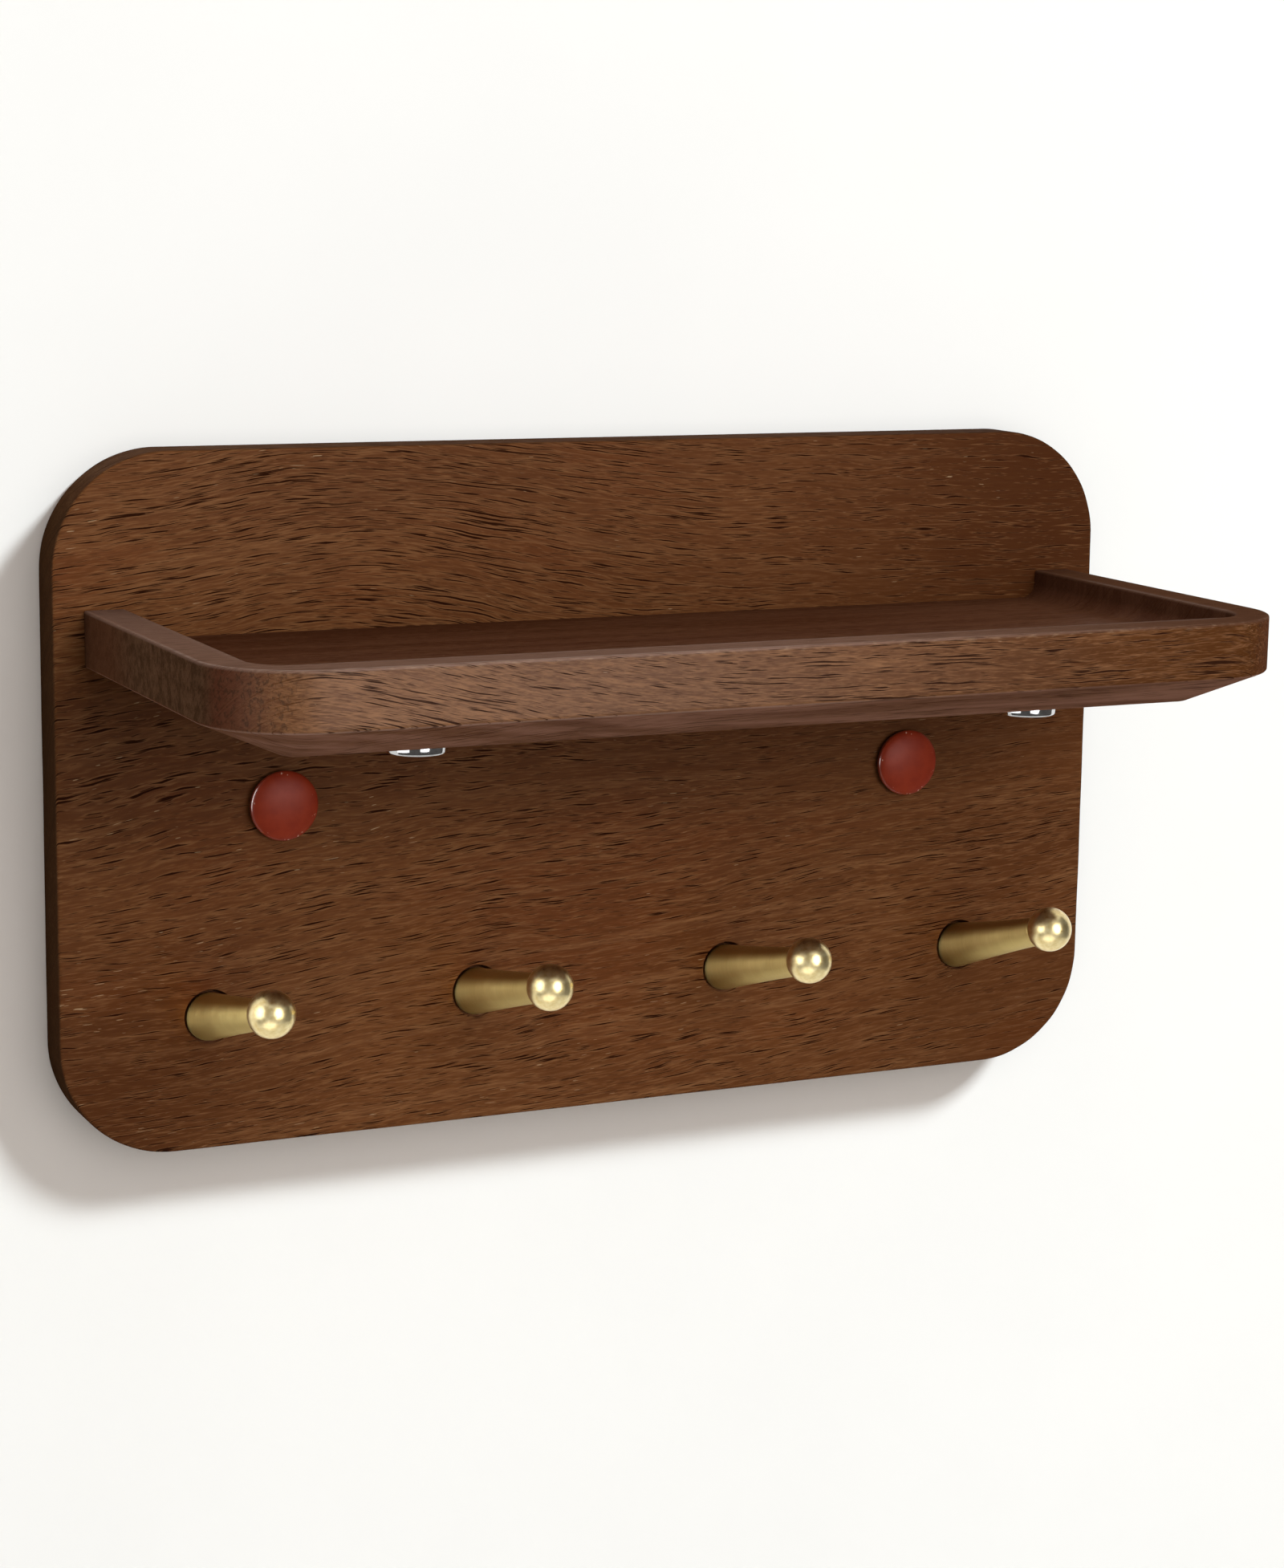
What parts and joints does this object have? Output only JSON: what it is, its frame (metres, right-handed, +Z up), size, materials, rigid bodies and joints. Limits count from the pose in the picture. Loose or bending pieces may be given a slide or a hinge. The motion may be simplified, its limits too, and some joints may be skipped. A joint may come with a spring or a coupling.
{
  "type": "wall key holder with shelf",
  "caption": "Rounded wooden wall board for hanging keys, with a lipped shelf tray, ball-tipped brass pegs tilted upward, push-in caps over the wall screws and cup magnets under the shelf.",
  "frame": {"origin": "middle of the backboard's back face, which lies on the wall", "axes": "+X to the right along the board's length, +Y into the wall, +Z up; the front looks along -Y"},
  "size_m": [0.3, 0.1258, 0.18],
  "materials": {
    "board_wood": "dark stained open-pore wood, satin",
    "tray_wood": "dark stained open-pore wood, worn satin",
    "dowel_wood": "plain beech, unfinished",
    "brushed_brass": "brushed around the peg",
    "polished_brass": "polished",
    "red_cap": "satin brick red",
    "chrome": "bright plated",
    "nickel": "nickel plated, satin",
    "steel": "zinc plated"
  },
  "bodies": {
    "holder": {"backboard": "board_wood", "shelf_tray": "tray_wood", "peg_shank_1": "brushed_brass", "peg_ball_1": "polished_brass", "peg_bolt_1": "steel", "peg_shank_2": "brushed_brass", "peg_ball_2": "polished_brass", "peg_bolt_2": "steel", "peg_shank_3": "brushed_brass", "peg_ball_3": "polished_brass", "peg_bolt_3": "steel", "peg_shank_4": "brushed_brass", "peg_ball_4": "polished_brass", "peg_bolt_4": "steel", "magnet_cup_left": "chrome", "magnet_ring_left": "nickel", "magnet_screw_left": "steel", "shelf_dowel_left": "dowel_wood", "magnet_cup_right": "chrome", "magnet_ring_right": "nickel", "magnet_screw_right": "steel", "shelf_dowel_right": "dowel_wood", "shelf_screw_left": "steel", "shelf_screw_middle": "steel", "shelf_screw_right": "steel"},
    "cap_left": {"screw_cap_left": "red_cap"},
    "cap_right": {"screw_cap_right": "red_cap"}
  },
  "joints": [
    {"name": "cap_left_pull", "type": "slide", "parent": "holder", "child": "cap_left", "axis": [0, -1, 0], "range_m": [0, 0.0055]},
    {"name": "cap_right_pull", "type": "slide", "parent": "holder", "child": "cap_right", "axis": [0, -1, 0], "range_m": [0, 0.0055]}
  ]
}
